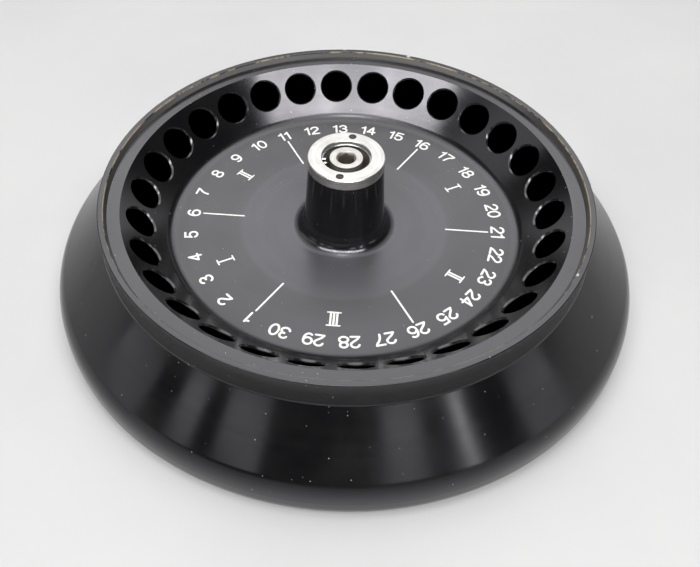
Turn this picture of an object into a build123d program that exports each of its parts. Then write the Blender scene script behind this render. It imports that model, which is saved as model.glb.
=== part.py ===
"""Fixed angle centrifuge rotor for thirty 1.5 or 2 ml micro tubes.

One black anodised aluminium body, turned and bored from a single blank, carries thirty blind
bores at 45 degrees. A steel bush in its hub fits the motor shaft, and a captive nut with a hex
socket, held down by a spanner ring on top of the hub, draws the rotor onto that shaft.

Frame: millimetres, +Z up along the spin axis, Z = 0 on the plane the foot ring stands on.
"""
import os
from math import cos, pi, radians, sin, tan

from build123d import *

os.makedirs("parts", exist_ok=True)

# --- Tube bores ---------------------------------------------------------------------------
tube_count = 30             # places round the rotor
tube_angle = 45.0           # tilt of each bore from the spin axis, degrees
first_tube_angle = -4.5     # bearing of place 21 from +X, degrees
tube_bore_d = 11.0          # fits a micro tube's body
mouth_pitch_r = 66.55       # radius of the circle through the mouth centres
bore_straight = 32.2        # depth at full diameter, from the mouth
bore_tip_depth = 4.8        # tapered end beyond it
bore_tip_r = 2.0            # flat at the very end
mouth_chamfer = 0.55        # break on each mouth's edge

# --- Body ---------------------------------------------------------------------------------
tube_wall = 2.8             # metal between a bore and the outer cone
end_wall = 3.1              # metal beyond the bore ends, at the widest circle
foot_wall = 3.8             # metal under the bore ends
web_wall = 4.0              # metal between a bore and the hollow underside
seat_w = 4.1                # flat ledge that a lid sits on
rim_break = 0.35            # rounding on the collar's edges
collar_fillet = 1.0         # collar running into the outer cone
lip_w = 1.9                 # flat top of the raised lip
lip_h = 2.2                 # lip above the lid seat
lip_slope_w = 0.8           # sloped inner side of the lip, seen from above
seat_rise = 5.9             # lid seat above the mouth centres
floor_drop = 8.75           # dish floor below the mouth centres
dish_fillet = 6.0           # where the bore cone meets the floor
floor_t = 8.0               # thickness of the dish floor
shoulder_round = 10.0       # outer cone turning into the widest circle
foot_round = 7.0            # widest circle turning under to the foot
underside_fillet = 3.0      # corners of the hollow underside
boss_r = 20.0               # boss round the shaft bush, underneath
boss_foot_z = 3.0           # its lower face

# --- Hub ----------------------------------------------------------------------------------
hub_rise = 16.35            # hub top above the mouth centres
hub_top_r = 12.0
hub_foot_r = 13.6           # at the dish floor, before the fillet
hub_fillet = 4.4
nut_chamber_r = 9.6         # threaded for the spanner ring
nut_chamber_depth = 12.7

# --- Shaft bush ---------------------------------------------------------------------------
bush_r = 9.0
bush_flange_r = 13.0
bush_flange_t = 2.0
shaft_bore_r = 7.0          # fits the motor shaft
shaft_seat_depth = 26.0     # shoulder that stops the shaft, above the bush's lower face
shaft_lead = 1.0            # chamfered entry
screw_way_r = 4.6           # lets the shaft's threaded end through

# --- Spanner ring on the hub --------------------------------------------------------------
ring_r = 12.2
ring_h = 3.4
ring_bore_r = 7.7
ring_chamfer = 0.25
spanner_hole_r = 1.25
spanner_pitch_r = 10.0
spanner_depth = 2.0
spanner_angle = 77.0        # bearing of the first hole from +X, degrees

# --- Snap ring in the spanner ring's bore -------------------------------------------------
wire_d = 1.0
groove_depth = 0.5
groove_top = 1.1            # from the ring's top face down to the groove
wire_clearance = 0.05       # all round the wire in its groove
snap_gap_angle = 16.0       # between its turned-in ends, degrees
snap_gap_bearing = 184.0    # middle of that gap from +X, degrees
snap_end_reach = 1.2        # how far the ends turn in

# --- Captive nut, its washer and its disc spring ------------------------------------------
nut_r = 5.2
nut_sink = 0.6              # its top below the spanner ring's top
nut_top_round = 1.1
nut_flange_t = 3.0
nut_clearance = 0.3         # flange to chamber wall, and flange to spanner ring
hex_across_flats = 5.0
hex_corner_angle = 90.0     # bearing of one corner from +X at rest, degrees
hex_depth = 4.5
hex_lead_r = 3.2            # countersink on the hex socket
spigot_r = 4.2
spigot_h = 2.0
thread_r = 3.4              # tapping size of the M8 thread
thread_depth = 9.2          # from the spigot's end
washer_t = 1.2
washer_clearance = 0.4      # round the nut's spigot, and inside the chamber
spring_t = 0.7
spring_cone = 0.4           # free height over its thickness
small_break = 0.2           # rounding on small turned edges

# --- Worked out from the above ------------------------------------------------------------
tilt = radians(tube_angle)
tube_bore_r = tube_bore_d / 2
bore_depth = bore_straight + bore_tip_depth
# how far the bore ends reach outward and down from the mouth centre
bore_reach = max(
    bore_straight * sin(tilt) + tube_bore_r * cos(tilt),
    bore_depth * sin(tilt) + bore_tip_r * cos(tilt),
)
bore_drop = max(
    bore_straight * cos(tilt) + tube_bore_r * sin(tilt),
    bore_depth * cos(tilt) + bore_tip_r * sin(tilt),
)
mouth_z = bore_drop + foot_wall
body_r = mouth_pitch_r + bore_reach + end_wall
seat_z = mouth_z + seat_rise
rim_z = seat_z + lip_h
floor_z = mouth_z - floor_drop
ceiling_z = floor_z - floor_t
hub_top_z = mouth_z + hub_rise
ring_top_z = hub_top_z + ring_h
spring_seat_z = hub_top_z - nut_chamber_depth
washer_z = spring_seat_z + spring_t + spring_cone
nut_seat_z = washer_z + washer_t
ring_foot_z = nut_seat_z + nut_flange_t + nut_clearance
nut_top_z = ring_top_z - nut_sink
spigot_foot_z = nut_seat_z - spigot_h
bush_foot_z = boss_foot_z - bush_flange_t


def mouth_face_r(z):
    """Radius of the cone that the bores open in, square to their axes."""
    return mouth_pitch_r + (z - mouth_z) / tan(tilt)


def beside_bores_r(offset, z):
    """Radius at height z of the cone that runs along the bores, offset outward from their axes."""
    r = mouth_pitch_r + offset * cos(tilt)
    top = mouth_z + offset * sin(tilt)
    return r + (top - z) * tan(tilt)


def outer_cone_z(r):
    """Height at radius r of the outer cone that runs along the bores."""
    offset = tube_bore_r + tube_wall
    r_top = mouth_pitch_r + offset * cos(tilt)
    z_top = mouth_z + offset * sin(tilt)
    return z_top - (r - r_top) / tan(tilt)


# --- Rotor body: one turned piece ---------------------------------------------------------
seat_inner_r = mouth_face_r(seat_z)
seat_outer_r = seat_inner_r + seat_w
lip_inner_r = seat_outer_r + lip_slope_w
rim_r = lip_inner_r + lip_w
dish_foot_r = mouth_face_r(floor_z)
underside_offset = -(tube_bore_r + web_wall)
foot_inner_r = beside_bores_r(underside_offset, 0)
ceiling_r = beside_bores_r(underside_offset, ceiling_z)

wall_h = outer_cone_z(body_r)
foot_turn = min(foot_round, 0.6 * wall_h)
shoulder_turn = min(shoulder_round, 0.9 * (wall_h - foot_turn) / tan((pi / 2 - tilt) / 2))
shaft_seat_z = bush_foot_z + shaft_seat_depth
groove_w = wire_d + 2 * wire_clearance
groove_z = ring_top_z - groove_top - groove_w / 2
wire_ring_r = ring_bore_r + groove_depth - wire_clearance - wire_d / 2

# section through one bore: across it, and up its axis out of the mouth
mouth_section = Plane(
    origin=(mouth_pitch_r, 0, mouth_z), x_dir=(cos(tilt), 0, sin(tilt)), z_dir=(0, -1, 0)
)
mouth_lead = 2.0            # the cutter starts this far above the mouth

with BuildPart() as tube_bore:
    with BuildSketch(mouth_section):
        with BuildLine():
            Polyline(
                (0, mouth_lead),
                (tube_bore_r + mouth_chamfer + mouth_lead, mouth_lead),
                (tube_bore_r, -mouth_chamfer),
                (tube_bore_r, -bore_straight),
                (bore_tip_r, -bore_depth),
                (0, -bore_depth),
                close=True,
            )
        make_face()
    revolve(axis=Axis(mouth_section.origin, mouth_section.y_dir))

body_corners = [
    ((foot_inner_r, 0), small_break),
    ((body_r, 0), foot_turn),
    ((body_r, outer_cone_z(body_r)), shoulder_turn),
    ((rim_r, outer_cone_z(rim_r)), collar_fillet),
    ((rim_r, rim_z), rim_break),
    ((lip_inner_r, rim_z), small_break),
    ((seat_outer_r, seat_z), 0),
    ((seat_inner_r, seat_z), small_break),
    ((dish_foot_r, floor_z), dish_fillet),
    ((hub_foot_r, floor_z), hub_fillet),
    ((hub_top_r, hub_top_z), 0),
    ((nut_chamber_r, hub_top_z), 0),
    ((nut_chamber_r, spring_seat_z), 0),
    ((bush_r, spring_seat_z), 0),
    ((bush_r, boss_foot_z), 0),
    ((boss_r, boss_foot_z), small_break),
    ((boss_r, ceiling_z), underside_fillet),
    ((ceiling_r, ceiling_z), underside_fillet),
]

with BuildPart() as rotor_body:
    with BuildSketch(Plane.XZ):
        with BuildLine():
            FilletPolyline(
                *[corner for corner, _ in body_corners],
                radius=[turn for _, turn in body_corners],
                close=True,
            )
        make_face()
    revolve(axis=Axis.Z)
    with PolarLocations(0, tube_count, start_angle=first_tube_angle):
        add(tube_bore.part, mode=Mode.SUBTRACT)
rotor_body.part.label = "rotor_body"

# --- Shaft bush: pressed into the hub from below, its flange against the boss --------------
with BuildPart() as shaft_bush:
    with BuildSketch(Plane.XZ):
        with BuildLine():
            Polyline(
                (shaft_bore_r + shaft_lead, bush_foot_z),
                (bush_flange_r, bush_foot_z),
                (bush_flange_r, boss_foot_z),
                (bush_r, boss_foot_z),
                (bush_r, spring_seat_z),
                (screw_way_r, spring_seat_z),
                (screw_way_r, shaft_seat_z),
                (shaft_bore_r, shaft_seat_z),
                (shaft_bore_r, bush_foot_z + shaft_lead),
                close=True,
            )
        make_face()
    revolve(axis=Axis.Z)
shaft_bush.part.label = "shaft_bush"

# --- Spanner ring: a flange on the hub's top, and a threaded skirt inside it ---------------
with BuildPart() as hub_ring:
    with BuildSketch(Plane.XZ):
        with BuildLine():
            Polyline(
                (ring_bore_r, ring_foot_z),
                (nut_chamber_r, ring_foot_z),
                (nut_chamber_r, hub_top_z),
                (ring_r, hub_top_z),
                (ring_r, ring_top_z),
                (ring_bore_r, ring_top_z),
                close=True,
            )
        make_face()
    revolve(axis=Axis.Z)
    chamfer(hub_ring.edges().group_by(Axis.Z)[-1], length=ring_chamfer)
    with BuildSketch(Plane.XZ):
        with Locations((ring_bore_r, groove_z)):
            Rectangle(groove_depth, groove_w, align=(Align.MIN, Align.CENTER))
    revolve(axis=Axis.Z, mode=Mode.SUBTRACT)
    with Locations(Plane.XY.offset(ring_top_z)):
        with PolarLocations(spanner_pitch_r, 2, start_angle=spanner_angle):
            Hole(spanner_hole_r, depth=spanner_depth)
hub_ring.part.label = "hub_ring"

# --- Snap ring: one open turn of spring wire whose ends turn in ----------------------------
snap_start = Plane.XY.offset(groove_z).rotated((0, 0, snap_gap_bearing + snap_gap_angle / 2))
with BuildPart() as snap_ring:
    with BuildLine(snap_start) as wire_path:
        turn = CenterArc((0, 0), wire_ring_r, 0, 360 - snap_gap_angle)
        Line((wire_ring_r - snap_end_reach, 0), (wire_ring_r, 0))
        PolarLine(turn @ 1, -snap_end_reach, -snap_gap_angle, length_mode=LengthMode.DIAGONAL)
    with BuildSketch(Plane(origin=wire_path.line @ 0, z_dir=wire_path.line % 0)):
        Circle(wire_d / 2)
    sweep(path=wire_path.line, transition=Transition.ROUND)
snap_ring.part.label = "snap_ring"

# --- Thrust washer and disc spring under the nut -------------------------------------------
with BuildPart() as thrust_washer:
    with BuildSketch(Plane.XY.offset(washer_z)):
        Circle(nut_chamber_r - washer_clearance)
        Circle(spigot_r + washer_clearance, mode=Mode.SUBTRACT)
    extrude(amount=washer_t)
thrust_washer.part.label = "thrust_washer"

with BuildPart() as disc_spring:
    with BuildSketch(Plane.XZ):
        with BuildLine():
            Polyline(
                (nut_chamber_r - washer_clearance, spring_seat_z),
                (nut_chamber_r - washer_clearance, spring_seat_z + spring_t),
                (spigot_r + washer_clearance, spring_seat_z + spring_t + spring_cone),
                (spigot_r + washer_clearance, spring_seat_z + spring_cone),
                close=True,
            )
        make_face()
    revolve(axis=Axis.Z)
disc_spring.part.label = "disc_spring"

# --- Captive nut: hex socket above, thread for the shaft's end below -----------------------
nut_flange_r = nut_chamber_r - nut_clearance
with BuildPart() as rotor_nut:
    with BuildSketch(Plane.XZ):
        with BuildLine():
            FilletPolyline(
                (thread_r, spigot_foot_z),
                (spigot_r, spigot_foot_z),
                (spigot_r, nut_seat_z),
                (nut_flange_r, nut_seat_z),
                (nut_flange_r, nut_seat_z + nut_flange_t),
                (nut_r, nut_seat_z + nut_flange_t),
                (nut_r, nut_top_z),
                (0, nut_top_z),
                (0, spigot_foot_z + thread_depth),
                (thread_r, spigot_foot_z + thread_depth),
                radius=[0, 0, 0, small_break, 0, nut_top_round, 0, 0, 0, 0],
                close=True,
            )
        make_face()
    revolve(axis=Axis.Z)
    with BuildSketch(Plane.XY.offset(nut_top_z)):
        RegularPolygon(hex_across_flats / 2, 6, major_radius=False, rotation=hex_corner_angle)
    extrude(amount=-hex_depth, mode=Mode.SUBTRACT)
    with Locations((0, 0, nut_top_z)):
        Cone(0, hex_lead_r, hex_lead_r, align=(Align.CENTER, Align.CENTER, Align.MAX),
             mode=Mode.SUBTRACT)
rotor_nut.part.label = "rotor_nut"

for piece in (
    rotor_body, shaft_bush, hub_ring, snap_ring, thrust_washer, disc_spring, rotor_nut,
):
    export_step(piece.part, f"parts/{piece.part.label}.step")
    print(piece.part.label, round(piece.part.volume, 1))
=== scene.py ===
# %% [markdown]
# # A fixed angle rotor for thirty micro tubes
# A laboratory centrifuge spins this rotor to throw what is in small plastic tubes down to their
# tips. The real one is turned and bored from one aluminium blank, anodised black, and drawn onto
# the motor shaft by a nut in its steel-topped hub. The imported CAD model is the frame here: every
# piece below rides on one of its bodies, and the scene adds the finish.

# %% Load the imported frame
import math

import bpy
import numpy as np
from mathutils import Matrix, Vector


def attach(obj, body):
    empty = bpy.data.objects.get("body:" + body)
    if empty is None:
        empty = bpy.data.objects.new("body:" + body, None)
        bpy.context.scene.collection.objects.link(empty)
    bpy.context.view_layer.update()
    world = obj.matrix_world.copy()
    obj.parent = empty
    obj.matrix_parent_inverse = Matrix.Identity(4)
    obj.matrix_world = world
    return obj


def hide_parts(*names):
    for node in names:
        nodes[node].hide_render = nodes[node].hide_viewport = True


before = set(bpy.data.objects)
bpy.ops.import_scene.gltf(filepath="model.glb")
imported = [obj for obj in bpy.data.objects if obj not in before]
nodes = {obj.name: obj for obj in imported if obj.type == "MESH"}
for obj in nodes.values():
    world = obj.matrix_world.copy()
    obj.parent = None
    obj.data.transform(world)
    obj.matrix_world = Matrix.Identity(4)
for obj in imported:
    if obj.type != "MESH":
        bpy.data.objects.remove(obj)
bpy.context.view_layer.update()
MM = 0.001


print("CAD nodes:", ", ".join(sorted(nodes)))

# %% [markdown]
# ## The outline of the body
# A turned piece is one outline spun round an axis. Its edges are never quite sharp: the lathe
# tool leaves a small break, and that break is what catches the light. The outline is written as
# corners with a radius each. It starts and ends on the inner cone, which is cut out of it,
# because thirty bores open there and that surface is made apart.

# %% Corners of the turned outline, in millimetres
mouth_pitch_r, mouth_z = 66.55, 31.377
floor_z, seat_z, rim_z, hub_top_z = 22.627, 37.277, 39.477, 47.727
cone_low_r, cone_high_r = 60.0, 72.0
cone_rise = mouth_z - mouth_pitch_r          # on the cone, z = r + cone_rise

outline_corners = [
    (cone_low_r, cone_low_r + cone_rise, 0),
    (57.8, floor_z, 6.0),
    (13.6, floor_z, 4.4),
    (12.0, hub_top_z, 0.12),
    (9.6, hub_top_z, 0.12),
    (9.6, 35.027, 0.1),
    (9.0, 35.027, 0.1),
    (9.0, 3.0, 0.1),
    (20.0, 3.0, 0.2),
    (20.0, 14.627, 3.0),
    (69.865, 14.627, 3.0),
    (84.492, 0.0, 0.2),
    (97.227, 0.0, 7.0),
    (97.227, 12.438, 10.0),
    (79.25, 30.415, 1.0),
    (79.25, rim_z, 0.35),
    (77.35, rim_z, 0.2),
    (76.55, seat_z, 0.12),
    (72.45, seat_z, 0.2),
    (cone_high_r, cone_high_r + cone_rise, 0),
]


def turned_outline(corners):
    """Points (r, z) along the rounded outline, each with its outward direction (nr, nz)."""
    points = []
    spots = [np.array(c[:2], float) for c in corners]
    for i, here in enumerate(spots):
        before = here - spots[i - 1] if i else spots[1] - here
        after = spots[i + 1] - here if i + 1 < len(spots) else before
        a, b = before / np.hypot(*before), after / np.hypot(*after)
        turn = math.atan2(a[0] * b[1] - a[1] * b[0], a @ b)
        radius = corners[i][2]
        if radius == 0:
            points.append((*here, a[1], -a[0]))
            continue
        steps = 3 if radius < 0.5 else 4 + int(abs(turn) * radius * 1.2)
        side = math.copysign(1, turn)
        first = here - a * radius * math.tan(abs(turn) / 2)
        centre = first + side * radius * np.array([-a[1], a[0]])
        for k in range(steps + 1):
            c, s = math.cos(turn * k / steps), math.sin(turn * k / steps)
            spin = np.array([[c, -s], [s, c]])
            points.append((*(centre + spin @ (first - centre)), *(spin @ [a[1], -a[0]])))
    return np.array(points)


outline = turned_outline(outline_corners)
print("outline points:", len(outline), "from", len(outline_corners), "corners")

# %% [markdown]
# ## The body, with thirty bores
# A Boolean would cut the bores, but it leaves long thin faces, and a polished black surface
# shows each of them as a kink. So its points are laid out one by one. The outline is spun in 480
# steps, 16 to a bore. On the inner cone each bore gets a patch whose rings run from its round mouth
# to the edge of its share of the cone. Every point is on the true surface and carries the true
# surface direction, so the shading is exact.

# %% Spin the outline
bore_count, bore_steps, share = 30, 64, 16
first_bore = math.radians(-4.5)
sector = 2 * math.pi / bore_count
columns = bore_count * share
column_angle = first_bore - sector / 2 + 2 * math.pi * np.arange(columns) / columns

verts, normals, faces = [], [], []


def spin_points(rz, angle):
    """Points and directions of (r, z, nr, nz) turned to an angle."""
    r, z, nr, nz = np.broadcast_arrays(*rz)
    c, s = np.cos(angle), np.sin(angle)
    return np.stack([r * c, r * s, z + 0 * c], -1), np.stack([nr * c, nr * s, nz + 0 * c], -1)


def keep(points, directions):
    """Stores mesh points and gives back their numbers."""
    start = sum(len(v) for v in verts)
    flat = points.reshape(-1, 3)
    verts.append(flat)
    normals.append(directions.reshape(-1, 3))
    return np.arange(start, start + len(flat)).reshape(points.shape[:-1])


def band(a, b):
    """Quads between two closed rows of points."""
    faces.append(np.stack([a, np.roll(a, -1), np.roll(b, -1), b], -1).reshape(-1, 4))


rows = [keep(*spin_points(row[:, None], column_angle)) for row in outline]
for a, b in zip(rows, rows[1:]):
    band(a, b)
print("spun rows:", len(rows), "of", columns, "points")

# %% [markdown]
# ## Where a bore meets the cone
# On the real rotor each tube stands in a round bore, drilled at right angles to the 45 degree cone.
# A cone isn't flat, so the mouth is a circle bent to it: its two sides rise a little. No formula
# is needed for that edge. A point starts on the bore's circle and is moved along the bore, a few
# times over, until it lies on the cone.

# %% Where a bore's wall meets the cone
bore_r, bore_straight, bore_depth, bore_tip_r, mouth_chamfer = 5.5, 32.2, 37.0, 2.0, 0.55
up, out = np.array([1, 0, 1]) / math.sqrt(2), np.array([-1, 0, 1]) / math.sqrt(2)
across = np.array([0.0, 1.0, 0.0])
mouth = np.array([mouth_pitch_r, 0, mouth_z])


def on_bore(rho, turn, height):
    """A point at radius rho round the bore's axis, height above its mouth."""
    ring = np.cos(turn)[:, None] * up + np.sin(turn)[:, None] * across
    return mouth + rho * ring + np.broadcast_to(height, turn.shape)[:, None] * out


def cone_height(rho, turn):
    """Height above the mouth at which the bore's circle of radius rho meets the cone."""
    h = np.zeros_like(turn)
    for _ in range(8):
        p = on_bore(rho, turn, h)
        h += (np.hypot(p[:, 0], p[:, 1]) + cone_rise - p[:, 2]) / math.sqrt(2)
    return h


# boundary of one bore's share of the cone: top edge, right side, lower edge, left side
side_count = bore_steps // 2 - share - 1
half_w = sector / 2 * mouth_pitch_r
turn_high = math.atan2(half_w, (cone_high_r - mouth_pitch_r) * math.sqrt(2))
turn_low = math.atan2(half_w, (cone_low_r - mouth_pitch_r) * math.sqrt(2))
side_turn = np.linspace(turn_high, turn_low, side_count + 2)[1:-1]
side_r = mouth_pitch_r + half_w / np.tan(side_turn) / math.sqrt(2)
span = np.linspace(-sector / 2, sector / 2, share + 1)
edge_angle = np.concatenate([span, np.full(side_count, sector / 2), span[::-1],
                             np.full(side_count, -sector / 2)])
edge_r = np.concatenate([np.full(share + 1, cone_high_r), side_r,
                         np.full(share + 1, cone_low_r), side_r[::-1]])
edge_turn = np.arctan2(edge_angle * mouth_pitch_r, (edge_r - mouth_pitch_r) * math.sqrt(2))
print("points round a patch:", len(edge_turn), "mouth lip rises",
      round(float(cone_height(bore_r, edge_turn).max()), 3), "mm at its sides")

# %% [markdown]
# ## Patches, chamfers and bores
# Each bore's share of the cone is laid with rings that change from the share's outline to the round
# mouth. The mouth has a small flat chamfer, as a countersink leaves, and the wall goes down from it
# to a tapered end that holds a tube's tip. A rounded mouth would draw its lamp as a line all round,
# and a flat chamfer draws it as short glints, as the real one does.

# %% Lay the patches and sink the bores
s2 = math.sqrt(0.5)
lip_height = cone_height(bore_r + mouth_chamfer, edge_turn)
lip = on_bore(bore_r + mouth_chamfer, edge_turn, lip_height)
lip_angle, lip_r = np.arctan2(lip[:, 1], lip[:, 0]), np.hypot(lip[:, 0], lip[:, 1])
side_rows = [keep(*spin_points((side_r, side_r + cone_rise, -s2, s2), column_angle[k * share]
                               + 0 * side_r)) for k in range(bore_count)]
inward = -(np.cos(edge_turn)[:, None] * up + np.sin(edge_turn)[:, None] * across)


def bore_rows():
    """The rows of one bore from its mouth down, with their surface directions."""
    # the chamfer is flat, at 45 degrees: how far down each row is, and how far it leans
    for down, lean in ((0.04, 0.46), (0.5, 0.5), (0.96, 0.54), (1.05, 1.0)):
        a = math.radians(90 * lean)
        height = lip_height - mouth_chamfer * down
        rho = bore_r + mouth_chamfer * max(0.0, 1 - down)
        yield on_bore(rho, edge_turn, height), math.sin(a) * inward + math.cos(a) * out
    # the wall, the shoulder, the tapered end and its flat tip
    wall = ((bore_r, -12, 0), (bore_r, -bore_straight + 0.4, 0),
            (bore_r - 0.2, -bore_straight - 0.2, 0.5),
            (bore_tip_r + 0.2, -bore_depth + 0.3, 0.75),
            (bore_tip_r - 0.3, -bore_depth, 1), (0.01, -bore_depth, 1))
    for rho, height, tilt in wall:
        lean = math.radians(90 * tilt)
        yield on_bore(rho, edge_turn, height), math.cos(lean) * inward + math.sin(lean) * out


for k in range(bore_count):
    angle = first_bore + k * sector
    turned = np.array(Matrix.Rotation(angle, 3, "Z"))
    cols = (k * share + np.arange(share + 1)) % columns
    edge = np.concatenate([rows[-1][cols], side_rows[(k + 1) % bore_count],
                           rows[0][cols[::-1]], side_rows[k][::-1]])
    last = edge
    for mix in (0.55, 0.8, 0.93, 1.0):       # rings of the patch, closer together at the mouth
        r = edge_r + (lip_r - edge_r) * mix
        a = angle + edge_angle + (lip_angle - edge_angle) * mix
        row = keep(*spin_points((r, r + cone_rise, -s2, s2), a))
        band(last, row)
        last = row
    for points, directions in bore_rows():
        row = keep(points @ turned.T, directions @ turned.T)
        band(last, row)
        last = row
print("bores sunk:", bore_count)


# %% [markdown]
# ## One mesh from the rows
# The rows become one mesh of quads. Each face is turned so that its outside agrees with the stored
# directions, and those directions are then set as the mesh's normals. This shades the surface as
# if it were truly round, with no need for a finer mesh. The mesh stands in for the CAD body.

# %% Turn the stored rows into one mesh
def make_piece(name, points, quads, directions):
    """A mesh object from points in millimetres, with exact surface directions."""
    points, directions = np.concatenate(points) * MM, np.concatenate(directions)
    quads = np.concatenate(quads)
    a, b, c, d = (points[quads[:, i]] for i in range(4))
    flat = np.cross(c - a, d - b)
    wrong = (flat * directions[quads].sum(1)).sum(1) < 0
    quads[wrong] = quads[wrong][:, ::-1]
    mesh = bpy.data.meshes.new(name)
    mesh.from_pydata(points.tolist(), [], quads.tolist())
    mesh.shade_smooth()
    lengths = np.linalg.norm(directions, axis=1, keepdims=True)
    mesh.normals_split_custom_set_from_vertices((directions / lengths).tolist())
    piece = bpy.data.objects.new(name, mesh)
    bpy.context.scene.collection.objects.link(piece)
    print(name, "faces:", len(quads), "turned round:", int(wrong.sum()))
    return piece


body = make_piece("turned_body", verts, faces, normals)
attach(body, "rotor")
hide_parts("rotor_body")

# %% [markdown]
# ## The marks on the dish floor
# On the real rotor the numbers are cut through the black skin by a laser, so they are thin and
# flat, with no depth to see. A texture could carry them, but a mesh keeps its edge at any zoom.
# Each mark is a ribbon drawn along a pen stroke, with round ends, laid a hair above the floor.
# Where strokes cross, two faces at one height would flicker, so each ribbon starts at a height of
# its own and climbs a little along its path.

# %% Pen strokes for the digits, in millimetres


def arc(cx, cy, rx, ry, start, end, steps=14):
    t = np.radians(np.linspace(start, end, steps + 1))
    return [(cx + rx * math.cos(a), cy + ry * math.sin(a)) for a in t]


strokes = {
    "0": [arc(0, 0, 1.14, 2.0, 90, 450, 32)],
    "1": [[(0.35, -2.0), (0.35, 2.0)], [(0.35, 2.0), (0.05, 1.45), (-0.6, 1.2)]],
    "2": [arc(0, 0.9, 1.1, 1.1, 172, -20) + [(0.6, 0.0), (-0.55, -1.05), (-1.1, -2.0)],
          [(-1.1, -2.0), (1.15, -2.0)]],
    "3": [arc(0, 1.02, 1.0, 0.98, 165, -62) + [(0.0, 0.12)],
          [(0.0, 0.12)] + arc(0, -0.94, 1.14, 1.06, 65, -165)],
    "4": [[(0.5, -2.0), (0.5, 2.0)], [(0.5, 2.0), (-1.2, -0.85)], [(-1.2, -0.85), (1.2, -0.85)]],
    "5": [[(1.0, 2.0), (-0.75, 2.0), (-0.98, 0.05)] + arc(0.02, -0.72, 1.12, 1.28, 140, -160)],
    "6": [arc(0.12, -0.02, 1.26, 2.0, 55, 180) + arc(0, -0.76, 1.14, 1.24, 180, 540, 24)],
    "7": [[(-1.15, 2.0), (1.15, 2.0)], [(1.15, 2.0)] + arc(1.9, -2.1, 2.25, 3.75, 118, 178, 8)],
    "8": [arc(0, 1.03, 0.98, 0.97, 0, 360, 24), arc(0, -0.94, 1.16, 1.06, 0, 360, 24)],
    "9": [arc(-0.12, 0.02, 1.26, 2.0, 235, 360) + arc(0, 0.76, 1.14, 1.24, 0, 360, 24)],
}
advance = {d: 3.4 for d in strokes} | {"1": 2.4}
digit_stretch, digit_w, line_w, serif_w, bar_w = 1.14, 0.72, 0.6, 0.5, 0.66
mark_points, mark_faces = [], []


def ribbon(path, width, place):
    """Lays a flat ribbon with round ends along a path; place(x, y) puts a point on the floor."""
    p = np.array(path, float)
    step = np.diff(p, axis=0)
    step /= np.linalg.norm(step, axis=1, keepdims=True)
    ahead = np.vstack([step[:1], step[:-1] + step[1:], step[-1:]])
    if np.allclose(p[0], p[-1]):
        ahead[0] = ahead[-1] = step[0] + step[-1]
    ahead /= np.linalg.norm(ahead, axis=1, keepdims=True)
    stretch = 1 / np.maximum(0.5, (ahead * np.vstack([step[:1], step])).sum(1))
    left = np.stack([-ahead[:, 1], ahead[:, 0]], -1) * (width / 2 * stretch)[:, None]
    base, n = len(mark_points), len(p)
    climb = 0.010 + 0.009 * (len(mark_faces) % 7) + 0.0004 * np.arange(n)
    for q, lift in zip(np.concatenate([p + left, p - left]), np.concatenate([climb, climb])):
        mark_points.append((*place(*q), floor_z + lift))
    mark_faces.extend((base + k, base + n + k, base + n + k + 1, base + k + 1)
                      for k in range(n - 1))
    for end, sign in ((0, 1), (n - 1, -1)):
        first = math.atan2(left[end][1] * sign, left[end][0] * sign)
        cap = [len(mark_points) + k for k in range(7)]
        for k in range(7):
            a = first + math.pi * k / 6
            round_end = p[end] + width / 2 * np.array([math.cos(a), math.sin(a)])
            mark_points.append((*place(*round_end), floor_z + climb[end] + 0.0002 * sign))
        mark_faces.append(tuple(cap))


def at_floor(radius, bearing):
    """Places a mark whose top points outward and which reads clockwise from above."""
    c, s = math.cos(bearing), math.sin(bearing)
    return lambda x, y: ((radius + y) * c + x * s, (radius + y) * s - x * c)


print("digits drawn:", "".join(sorted(strokes)))

# %% [markdown]
# ### Which mark goes where
# The thirty places are numbered clockwise, so that tubes can be set opposite each other. A line at
# every fifth place parts the ring into six sectors, and Roman numerals name them in pairs, so that
# opposite sectors carry the same numeral. Every mark is placed by its bearing and radius alone.

# %% Numbers, sector lines and Roman numerals
mark_turn = math.radians(-5.5)               # the marks sit a degree off the bores
number_r, numeral_r, line_r = 51.4, 42.6, (34.2, 48.0)


def bearing_of(place):
    return mark_turn + sector * (21 - place)


for place in range(1, bore_count + 1):
    text = str(place)
    width = sum(advance[d] for d in text)
    x = -width / 2
    for digit in text:
        shift = x + advance[digit] / 2
        for path in strokes[digit]:
            wide = [(px * digit_stretch + shift, py) for px, py in path]
            ribbon(wide, digit_w, at_floor(number_r, bearing_of(place)))
        x += advance[digit]
for place in (1, 6, 11, 16, 21, 26):
    ribbon([(0, line_r[0]), (0, line_r[1])], line_w, at_floor(0, bearing_of(place)))
for bars, place in ((1, 3.5), (2, 8.5), (3, 13.5), (1, 18.5), (2, 23.5), (3, 28.5)):
    spot = at_floor(numeral_r, bearing_of(place))
    half = 0.5 * (bars - 1) + 1.05
    for y in (-2.6, 2.6):
        ribbon([(-half, y), (half, y)], serif_w, spot)
    for k in range(bars):
        x = k - (bars - 1) / 2
        ribbon([(x, -2.6), (x, 2.6)], bar_w, spot)

mark_mesh = bpy.data.meshes.new("floor_marks")
mark_mesh.from_pydata([tuple(v * MM for v in q) for q in mark_points], [], mark_faces)
marks = bpy.data.objects.new("floor_marks", mark_mesh)
bpy.context.scene.collection.objects.link(marks)
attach(marks, "rotor")
print("ribbons:", len(mark_faces), "faces on the dish floor")

# %% [markdown]
# ## Finishes
# Each finish is a small tree of shader nodes. Coordinates come from the object itself, which sits
# at the origin, so the distance from the spin axis is at hand, and turning marks follow it.

# %% Helpers for shader nodes


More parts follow.
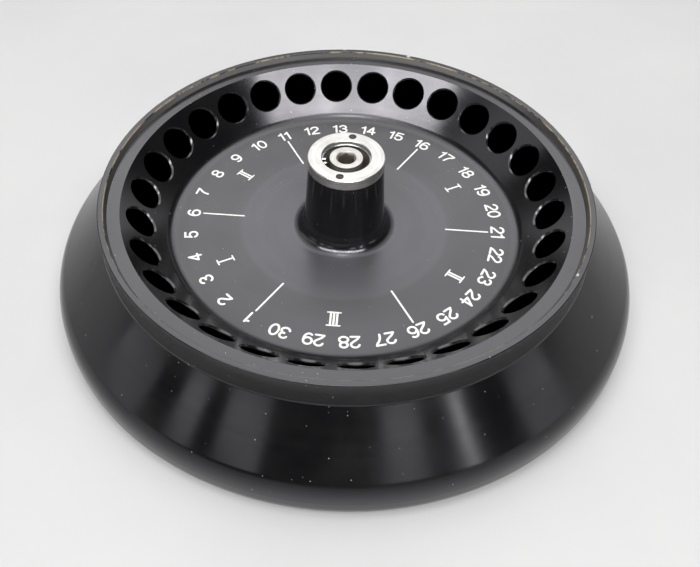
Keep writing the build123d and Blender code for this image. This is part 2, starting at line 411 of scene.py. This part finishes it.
class Finish:
    """A material being built: add nodes, join sockets, set values."""

    def __init__(self, name):
        self.material = bpy.data.materials.new(name)
        self.material.use_nodes = True
        self.tree = self.material.node_tree
        self.tree.nodes.clear()
        self.out = self.add("ShaderNodeOutputMaterial")
        self.where = self.add("ShaderNodeTexCoord").outputs["Object"]
        flat = self.add("ShaderNodeVectorMath", {0: self.where, 1: (1, 1, 0)}, operation="MULTIPLY")
        length = self.add("ShaderNodeVectorMath", {0: flat.outputs[0]}, operation="LENGTH")
        self.radius = length.outputs["Value"]
        _, self.y, self.z = self.add("ShaderNodeSeparateXYZ", {0: self.where}).outputs

    def add(self, kind, inputs=None, **settings):
        n = self.tree.nodes.new(kind)
        for key, value in settings.items():
            setattr(n, key, value)
        for key, value in (inputs or {}).items():
            if isinstance(value, bpy.types.NodeSocket):
                self.tree.links.new(value, n.inputs[key])
            else:
                n.inputs[key].default_value = value
        return n

    def math(self, operation, a, b):
        return self.add("ShaderNodeMath", {0: a, 1: b}, operation=operation).outputs[0]

    def times(self, a, b):
        return self.math("MULTIPLY", a, b)

    def either(self, a, b):
        return self.math("MAXIMUM", a, b)

    def noise(self, vector, scale, detail=3.0, rough=0.5):
        return self.add("ShaderNodeTexNoise", {"Vector": vector, "Scale": scale, "Detail": detail,
                                               "Roughness": rough}).outputs["Fac"]

    def ramp(self, value, low, high, to_low=0.0, to_high=1.0):
        """Maps low..high onto to_low..to_high, smooth at both ends."""
        return self.add("ShaderNodeMapRange", {"Value": value, "From Min": low, "From Max": high,
                                               "To Min": to_low, "To Max": to_high},
                        interpolation_type="SMOOTHSTEP").outputs["Result"]

    def within(self, value, low, high, soft):
        """1 between low and high, 0 outside, with soft edges."""
        up = self.ramp(value, low - soft, low)
        down = self.ramp(value, high, high + soft, 1.0, 0.0)
        return self.times(up, down)

    def mix(self, factor, a, b):
        """A colour between a and b; a plain colour is three numbers."""
        a, b = ((*c, 1) if isinstance(c, tuple) else c for c in (a, b))
        return self.add("ShaderNodeMix", {0: factor, 6: a, 7: b}, data_type="RGBA").outputs[2]

    def lathe_marks(self, fineness):
        """Noise that varies along the outline and hardly round it, as turning marks do."""
        rings = self.add("ShaderNodeCombineXYZ", {0: self.radius, 1: self.z})
        return self.noise(rings.outputs[0], fineness, 2.0, 0.6)

    def bump(self, height, distance, strength=1.0):
        return self.add("ShaderNodeBump", {"Height": height, "Distance": distance,
                                           "Strength": strength}).outputs["Normal"]

    def surface(self, **inputs):
        named = {key.replace("_", " "): value for key, value in inputs.items()}
        shader = self.add("ShaderNodeBsdfPrincipled", named)
        self.tree.links.new(shader.outputs[0], self.out.inputs["Surface"])
        return self.material

    def turned_surface(self, **inputs):
        """A surface whose gloss is spread across its turning marks."""
        tangent = self.add("ShaderNodeTangent", direction_type="RADIAL", axis="Z").outputs[0]
        return self.surface(Tangent=tangent, Anisotropic_Rotation=0.25, **inputs)


print("finish helper ready")

# %% [markdown]
# ### Black anodised aluminium
# Anodising grows a hard clear oxide on the metal and dyes it black. Light is thrown back by the
# oxide's surface, weakly from above and strongly at a glancing view, and almost none comes from
# below it. So this is a dark surface that is no metal, with the oxide's high index of 1.77.
# Turning marks spread its gloss across them, which is what anisotropy does.
#
# One finish covers the whole body, and masks made from the radius and the height say where it
# changes. The dish floor was faced with a coarser tool, so it is hazy. The tower and the outside
# were polished finer. A lid has scuffed the slope of the lip to a dull grey and rubbed its upper
# edge down to the gold of the bare oxide.

# %% Where the black finish changes, in metres


def body_masks(f):
    """For each place on the body, a mask that is 1 there and 0 elsewhere."""
    lip_slope = f.times(f.within(f.radius, 0.0766, 0.0773, 0.0001),
                        f.within(f.z, 0.0376, 0.0390, 0.0002))
    lip_edge = f.times(f.within(f.radius, 0.07708, 0.07740, 0.00008),
                       f.within(f.z, 0.0391, 0.0396, 0.0001))
    dish = f.times(f.within(f.radius, 0.0165, 0.0555, 0.0025),
                   f.within(f.z, 0.0222, 0.0229, 0.0006))
    outside = f.times(f.ramp(f.radius, 0.0789, 0.0791), f.ramp(f.z, 0.010, 0.014))
    tower = f.times(f.ramp(f.radius, 0.0134, 0.0140, 1.0, 0.0), f.ramp(f.z, 0.0270, 0.0290))
    # the bores slope at 45 degrees, so the radius less the height and their sum bound them
    bores = f.times(f.within(f.math("SUBTRACT", f.radius, f.z), 0.0366, 0.0876, 0.0005),
                    f.within(f.math("ADD", f.radius, f.z), 0.0900, 0.1062, 0.0005))
    return {"lip slope": lip_slope, "lip edge": lip_edge, "dish": dish, "bores": bores,
            "polished": f.either(outside, tower)}


print("places with a finish of their own: lip slope, lip edge, dish, bores, polished")

# %% [markdown]
# ### Dust and nicks
# Dust is small pale specks, few and far between, with more of them on the side that faces the
# room. Each cell of a fine Voronoi pattern may hold one speck, at its middle, if the cell's own
# random number is high enough. The lip has three small nicks, where it was knocked and bare metal
# shows.

# %% Dust and nicks


def dust_specks(f):
    cells = f.add("ShaderNodeTexVoronoi", {"Vector": f.where, "Scale": 1000.0})
    pick = f.add("ShaderNodeSeparateColor", {0: cells.outputs["Color"]}).outputs[0]
    front = f.times(f.ramp(f.y, -0.07, -0.045, 0.022, 0.0), f.ramp(f.z, 0.012, 0.02))
    chosen = f.ramp(f.math("ADD", pick, front), 0.965, 0.99, 0.0, 0.6)
    return f.times(f.ramp(cells.outputs["Distance"], 0.08, 0.2, 1.0, 0.0), chosen)


def lip_nicks(f):
    nicks = 0.0
    for spot in ((0.0015, 0.0792, 0.0394), (0.0258, 0.0741, 0.0394), (0.0664, -0.0396, 0.0394)):
        apart = f.add("ShaderNodeVectorMath", {0: f.where, 1: spot}, operation="DISTANCE")
        nicks = f.either(f.ramp(apart.outputs["Value"], 0.0004, 0.0009, 0.8, 0.0), nicks)
    return nicks


print("dust and nicks ready")

# %% [markdown]
# ### The whole black finish
# Colours are laid over one another, from the clean black up to the dust. The bores come last, as a
# black mirror that sends almost no light back out: painted shade, for the shade deep in each hole.

# %% Black anodised finish


def black_anodised():
    f = Finish("black_anodised")
    at = body_masks(f)
    smudge = f.noise(f.where, 38.0, 4.0, 0.62)
    film = f.noise(f.where, 9.0, 2.0, 0.5)
    clean = f.mix(f.ramp(smudge, 0.3, 0.75), (0.0024, 0.0024, 0.0029), (0.005, 0.0049, 0.0051))
    # the dish floor's grey is its hazy finish; inside a radius of about 34 mm it is painted
    # lighter, a painted pool of light round the tower
    hazy_floor_and_painted_light = f.mix(f.ramp(f.radius, 0.0335, 0.0360), (0.062, 0.0605, 0.066), (0.042, 0.041, 0.0445))
    skin = f.mix(at["dish"], clean, hazy_floor_and_painted_light)
    patchy = f.ramp(f.noise(f.where, 90.0, 4.0, 0.7), 0.42, 0.56, 0.0, 0.85)
    worn = f.mix(f.times(at["lip edge"], patchy), skin, (0.42, 0.34, 0.2))
    scuff = f.times(at["lip slope"], f.ramp(film, 0.35, 0.6, 0.3, 0.8))
    scuffed = f.mix(scuff, worn, (0.16, 0.158, 0.15))
    dust = f.times(dust_specks(f), f.math("SUBTRACT", 1.0, at["bores"]))
    dusty = f.mix(f.either(dust, lip_nicks(f)), scuffed, (0.62, 0.6, 0.56))
    # painted shade: the bores are a near black mirror, so their walls throw back almost no light
    colour = f.mix(at["bores"], dusty, (0.0012, 0.0012, 0.0012))

    rough = f.math("ADD", f.ramp(smudge, 0.3, 0.75, 0.19, 0.25),
                   f.ramp(f.lathe_marks(150.0), 0.3, 0.7, -0.02, 0.02))
    rough = f.math("ADD", rough, f.ramp(film, 0.3, 0.7, -0.02, 0.03))
    rough = f.math("ADD", rough, f.times(at["dish"], 0.1))
    rough = f.math("SUBTRACT", rough, f.times(at["polished"], 0.05))
    less = f.either(f.times(at["polished"], 0.22), f.times(at["dish"], 0.14))
    return f.turned_surface(
        Base_Color=colour, Metallic=at["bores"], Roughness=rough, IOR=1.77,
        Specular_IOR_Level=f.math("SUBTRACT", 0.5, less), Specular_Tint=(0.96, 0.94, 1, 1),
        Normal=f.bump(f.lathe_marks(900.0), 0.000012, 0.35), Anisotropic=0.35)


body.data.materials.append(black_anodised())
print("black anodised finish on", body.name)

# %% [markdown]
# ### Turned steel, spring steel and bronze
# The ring and the nut are bare steel with a fine turned face. A metal's colour is its reflection,
# so the shader is metallic and its marks are in the roughness and the bump. Grime lies in the two
# spanner holes and the nut's hex socket, and the same dark colour is painted shade in the socket,
# down the wall of the ring's bore and on the nut's side, the recess between them that is in shade.
# The wire ring is cleaner and brighter, the disc spring is dark from its hardening, and the washer
# is bronze, which runs well against steel. They share one function, since only their numbers
# differ.

# %% Metal finishes


def metal(name, pale, dull, gloss, fineness, streak, dirt_and_shade=None, grime_and_shade=(0.075, 0.06, 0.042)):
    """Bare metal with turning marks. gloss is its lowest and highest roughness, streak its
    anisotropy, and the next argument a function that gives a mask of where grime lies and where
    shade is painted, laid in the colour after it."""
    f = Finish(name)
    rings = f.lathe_marks(fineness)
    stain = f.noise(f.where, 160.0, 4.0, 0.6)
    colour = f.mix(f.ramp(stain, 0.3, 0.75), pale, dull)
    rough = f.ramp(rings, 0.3, 0.7, *gloss)
    bare = 1.0
    if dirt_and_shade:
        # the mask darkens the metal with grime, and with painted shade in its recesses
        mask = dirt_and_shade(f)
        colour = f.mix(mask, colour, grime_and_shade)
        rough = f.either(rough, f.times(mask, 0.7))
        bare = f.math("SUBTRACT", 1.0, mask)
    return f.turned_surface(Base_Color=colour, Metallic=bare, Roughness=rough,
                            Anisotropic=streak, Normal=f.bump(rings, 0.000015, 0.4))


def ring_dirt(f):
    """Grime in the two spanner holes, and painted shade on the wall of the bore below its top edge.
    """
    holes = f.times(f.within(f.radius, 0.0085, 0.0115, 0.0002),
                    f.ramp(f.z, 0.0494, 0.0508, 1.0, 0.0))
    # painted shade down the ring's bore, where the recess round the nut is in shade
    bore = f.times(f.ramp(f.radius, 0.0076, 0.0079, 1.0, 0.0),
                   f.ramp(f.z, 0.0500, 0.0510, 0.85, 0.0))
    return f.either(holes, bore)


def nut_dirt(f):
    """Grime and painted shade in the hex socket, and painted shade on the nut's side below its top
    edge.
    """
    # the hex socket holds grime, and painted shade over its walls
    socket = f.times(f.ramp(f.radius, 0.0028, 0.0033, 1.0, 0.0),
                     f.ramp(f.z, 0.0482, 0.0504, 1.0, 0.75))
    # painted shade on the nut's side, which faces the shaded recess
    side = f.times(f.ramp(f.radius, 0.0049, 0.0052), f.ramp(f.z, 0.0490, 0.0502, 0.9, 0.0))
    return f.either(socket, side)


finishes = {
    "hub_ring": metal("ring_steel", (0.66, 0.65, 0.63), (0.52, 0.51, 0.49), (0.26, 0.4),
                      1500.0, 0.55, ring_dirt, (0.13, 0.1, 0.07)),
    "rotor_nut": metal("nut_steel", (0.6, 0.59, 0.57), (0.42, 0.4, 0.37), (0.24, 0.4),
                       1800.0, 0.3, nut_dirt),
    "snap_ring": metal("spring_steel", (0.66, 0.66, 0.66), (0.5, 0.5, 0.5), (0.2, 0.34),
                       2500.0, 0.0),
    "disc_spring": metal("dark_spring_steel", (0.2, 0.2, 0.21), (0.12, 0.12, 0.12), (0.3, 0.45),
                         1500.0, 0.3),
    "thrust_washer": metal("washer_bronze", (0.38, 0.26, 0.13), (0.22, 0.14, 0.07), (0.34, 0.5),
                           1500.0, 0.3),
    "shaft_bush": metal("bush_steel", (0.56, 0.55, 0.54), (0.4, 0.39, 0.38), (0.26, 0.4),
                        1500.0, 0.5),
}
for name, finish in finishes.items():
    nodes[name].data.materials.clear()
    nodes[name].data.materials.append(finish)
print("metal finishes:", ", ".join(sorted(finishes)))

# %% [markdown]
# ### The laser marks
# Where the laser has gone the skin is bleached to a chalky off-white, a little uneven and matt.

# %% Finish of the marks


def laser_white():
    f = Finish("laser_white")
    grain = f.noise(f.where, 1500.0, 3.0, 0.6)
    colour = f.mix(f.ramp(grain, 0.3, 0.7), (0.78, 0.77, 0.73), (0.9, 0.89, 0.86))
    return f.surface(Base_Color=colour, Roughness=f.ramp(grain, 0.3, 0.7, 0.5, 0.65))


marks.data.materials.append(laser_white())
print("marks painted")

# %% [markdown]
# ## Camera
# The camera looks down at 48 degrees, as one does at a rotor on a bench, from a little left of its
# middle. The rotor is brought to its place in the picture by shifting the lens, since turning the
# camera would change how the circles look.

# %% Camera
camera_data = bpy.data.cameras.new("camera")
camera_data.sensor_width, camera_data.lens = 36.0, 42.42
camera_data.shift_x, camera_data.shift_y = 0.0476, 0.017
camera_data.clip_start = 0.01
camera = bpy.data.objects.new("camera", camera_data)
camera.location = (-0.00928, -0.2031, 0.2154)
camera.rotation_euler = (math.radians(41.45), 0, 0)
bpy.context.scene.collection.objects.link(camera)
bpy.context.scene.camera = camera
print("camera", tuple(round(v, 4) for v in camera.location))

# %% [markdown]
# ## Floor
# The bench is a plain pale disc, a little uneven in tone so that it reads as a real surface. It is
# wide enough that its edge isn't seen from above, and it belongs to the stage and not to the part.

# %% Floor
floor_r, floor_sides = 1.15, 96


def pale_floor():
    f = Finish("pale_floor")
    grain = f.noise(f.where, 6.0, 5.0, 0.6)
    colour = f.mix(f.ramp(grain, 0.3, 0.7), (0.56, 0.56, 0.56), (0.6, 0.6, 0.597))
    return f.surface(Base_Color=colour, Roughness=0.55, IOR=1.45)


floor_mesh = bpy.data.meshes.new("floor")
turns = np.linspace(0, 2 * math.pi, floor_sides + 1)[:-1]
floor_mesh.from_pydata([(floor_r * math.cos(a), floor_r * math.sin(a), 0) for a in turns],
                       [], [tuple(range(floor_sides))])
floor = bpy.data.objects.new("floor", floor_mesh)
floor.location.z = -0.0001
bpy.context.scene.collection.objects.link(floor)
floor.data.materials.append(pale_floor())
print("floor", 2 * floor_r, "m across")

# %% [markdown]
# ## Light
# A gloss black thing shows its surroundings and little else, so each lamp is placed for what it
# draws on the rotor. A band of light high in front whitens the bench and the turned steel, and puts
# a glint on each bore's chamfer. Panels behind draw the bright arc on the far side of the inner
# cone. Narrow and low panels draw the streaks on the outer cone. The room has a pale wall low down
# and is a dark studio above, for every kind of ray, so the black stays black.

# %% Light panels


def panel(name, bearing, elevation, wide, high, strength, distance=1.6):
    """A soft lamp that faces the rotor from a bearing, wide and high in degrees of its sky.
    It sends out 4 watts a square metre for each unit of strength: a mirror shows it as 1.27."""
    a, e = math.radians(bearing), math.radians(elevation)
    away = Vector((math.cos(a) * math.cos(e), math.sin(a) * math.cos(e), math.sin(e)))
    lamp = bpy.data.lights.new(name, "AREA")
    lamp.shape = "RECTANGLE"
    lamp.size = 2 * distance * math.tan(math.radians(wide) / 2)
    lamp.size_y = 2 * distance * math.tan(math.radians(high) / 2)
    lamp.energy = 4 * strength * lamp.size * lamp.size_y
    shown = bpy.data.objects.new(name, lamp)
    shown.location = away * distance + Vector((0, 0, 0.03))
    shown.rotation_euler = away.to_track_quat("Z", "Y").to_euler()
    shown.visible_camera = False
    bpy.context.scene.collection.objects.link(shown)


panels = (
    # name, bearing, elevation, wide, high, strength
    ("front_top_0", -138, 54, 28, 11, 8.0),            # the band high in front
    ("front_top_1", -97, 54, 28, 11, 8.0),
    ("front_top_2", -56, 54, 28, 11, 8.0),
    ("overhead", -100, 82, 9, 9, 9.0),                 # a second glint on each chamfer
    ("overhead_soft", 90, 89, 38, 56, 1.3),
    ("behind_high", 87, 50, 44, 22, 1.75),             # the arc on the inner cone
    ("behind_low", 88, 35, 42, 8, 1.3),
    ("right_front_strip", -48, 25, 3.0, 16, 5.6),      # the sharp streak on the outer cone
    ("right_front_soft", -69, 28, 12, 10, 1.5),        # and its soft ones
    ("right_front_low", -20, 16, 16, 9, 0.9),
    ("left_front_soft", -126, 27, 14, 8, 1.2),
    ("left_front_low", -146, 23, 8, 9, 1.3),
    ("left_low", -170, 15, 18, 9, 0.6),
    ("left_behind", 172, 36, 40, 18, 0.5),
)
for settings in panels:
    panel(*settings)
print("lamps:", len(panels))

# %% [markdown]
# ## The room
# Where there is no lamp, the gloss shows the room. A pale wall low down gives the sides their grey
# at a glancing view and stands behind the bench. The dark studio above it keeps the cones black.
# One ramp over the height of the ray makes both.

# %% The room
world = bpy.data.worlds.new("studio")
world.use_nodes = True
room = world.node_tree
direction = room.nodes.new("ShaderNodeTexCoord").outputs["Generated"]
height = room.nodes.new("ShaderNodeSeparateXYZ")
room.links.new(direction, height.inputs[0])
wall = room.nodes.new("ShaderNodeMapRange")
wall.interpolation_type = "SMOOTHSTEP"
wall_low, wall_high = 0.13, 0.32             # sines of the elevations between which it darkens
wall.inputs["From Min"].default_value = wall_low
wall.inputs["From Max"].default_value = wall_high
room.links.new(height.outputs["Z"], wall.inputs["Value"])
shade = room.nodes.new("ShaderNodeMix")
shade.data_type = "RGBA"
room.links.new(wall.outputs["Result"], shade.inputs[0])
shade.inputs[6].default_value = (0.68, 0.68, 0.68, 1)
shade.inputs[7].default_value = (0.045, 0.045, 0.045, 1)
room.links.new(shade.outputs[2], room.nodes["Background"].inputs["Color"])
bpy.context.scene.world = world
bpy.context.scene.view_settings.view_transform = "Standard"
print("room: pale wall below", round(math.degrees(math.asin(wall_low)), 1), "degrees")
